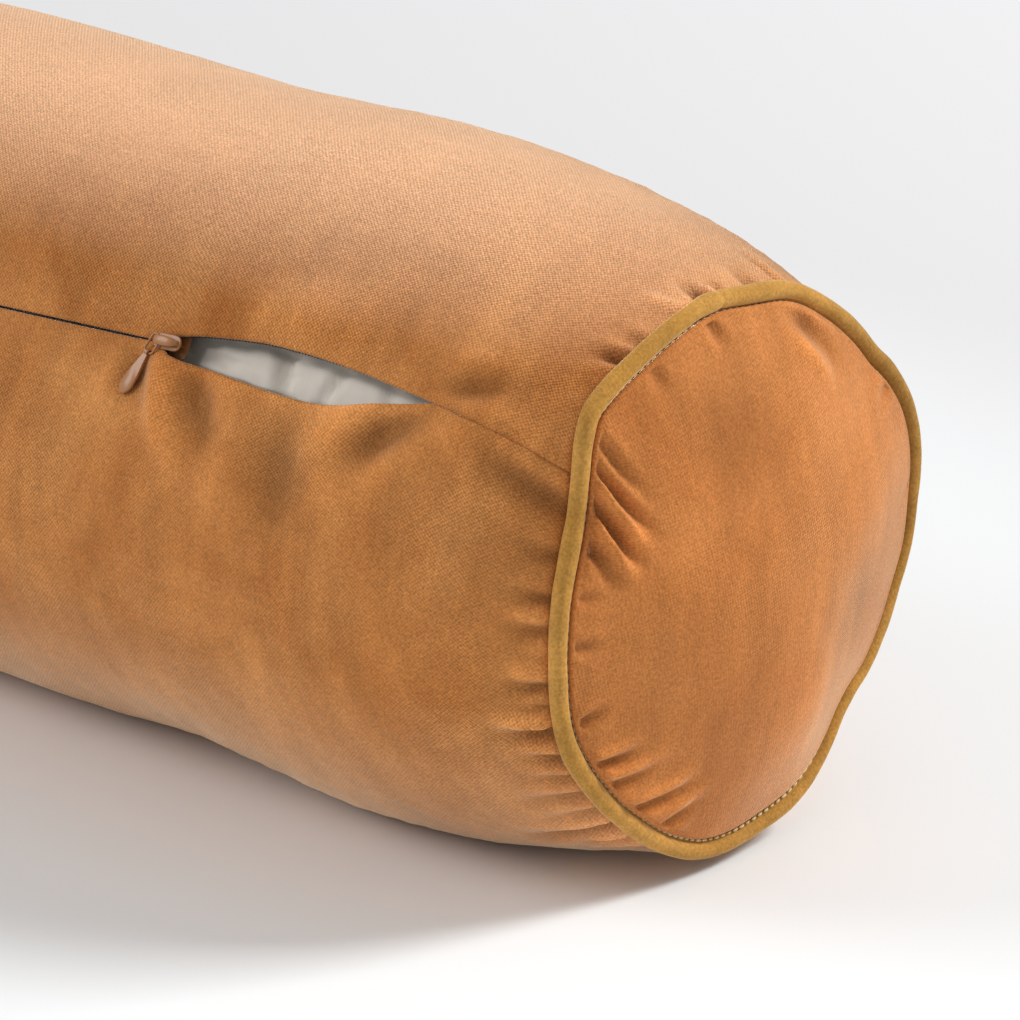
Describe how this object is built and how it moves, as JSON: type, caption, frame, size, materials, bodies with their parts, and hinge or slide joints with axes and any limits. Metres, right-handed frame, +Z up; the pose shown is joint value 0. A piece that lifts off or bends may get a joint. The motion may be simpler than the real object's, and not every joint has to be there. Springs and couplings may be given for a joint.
{
  "type": "bolster pillow",
  "caption": "Round bolster pillow: velvet cover with piped ends and a concealed zip standing partly open, over a fibre-filled cotton inner pad.",
  "frame": {"origin": "on the surface that the pillow rests on, under the middle of its length and width", "axes": "+X along the pillow, towards the end by the open mouth of the zip; -Y is the side that the zip is on; +Z up"},
  "size_m": [0.612, 0.204, 0.199],
  "materials": {
    "velvet": "tan polyester velvet with a short pile",
    "piping_velvet": "ochre velvet bias strip",
    "filler_cord": "soft twisted cotton cord",
    "casing_cotton": "plain white cotton",
    "hollow_fibre": "loose polyester fibre",
    "zip_tape": "woven polyester tape",
    "zip_nylon": "dyed nylon coil",
    "zip_enamel": "satin tan enamel on die-cast zinc",
    "sewing_thread": "spun polyester sewing thread"
  },
  "bodies": {
    "pillow": {"body_panel": "velvet", "end_panel_far": "velvet", "end_panel_near": "velvet", "end_seam_thread_far": "sewing_thread", "end_seam_thread_near": "sewing_thread", "fibre_filling": "hollow_fibre", "long_seam_thread_far": "sewing_thread", "long_seam_thread_near": "sewing_thread", "pad_casing_end_far": "casing_cotton", "pad_casing_end_near": "casing_cotton", "pad_casing_tube": "casing_cotton", "piping_cord_far": "filler_cord", "piping_cord_near": "filler_cord", "piping_sleeve_far": "piping_velvet", "piping_sleeve_near": "piping_velvet", "zip_bottom_stop": "zip_enamel", "zip_coil_lower": "zip_nylon", "zip_coil_upper": "zip_nylon", "zip_stitches_lower": "sewing_thread", "zip_stitches_upper": "sewing_thread", "zip_tape_lower": "zip_tape", "zip_tape_upper": "zip_tape", "zip_top_stop_lower": "zip_enamel", "zip_top_stop_upper": "zip_enamel"},
    "slider": {"zip_slider": "zip_enamel"},
    "link": {"pull_link": "zip_enamel"},
    "tab": {"pull_tab": "zip_enamel"}
  },
  "joints": [
    {"name": "slider_travel", "type": "slide", "parent": "pillow", "child": "slider", "axis": [0.9988, 0.0238, 0.0439], "range_m": [-0.368, 0.096]},
    {"name": "puller_swivel", "type": "hinge", "parent": "slider", "child": "link", "pos_m": [0.132, -0.08313, 0.14979], "axis": [-0.0035, -0.8432, 0.5376], "range_deg": [-65, 15]},
    {"name": "tab_lift", "type": "hinge", "parent": "link", "child": "tab", "pos_m": [0.13072, -0.0855, 0.14606], "axis": [-0.9606, 0.1523, 0.2326], "range_deg": [0, 110]}
  ]
}
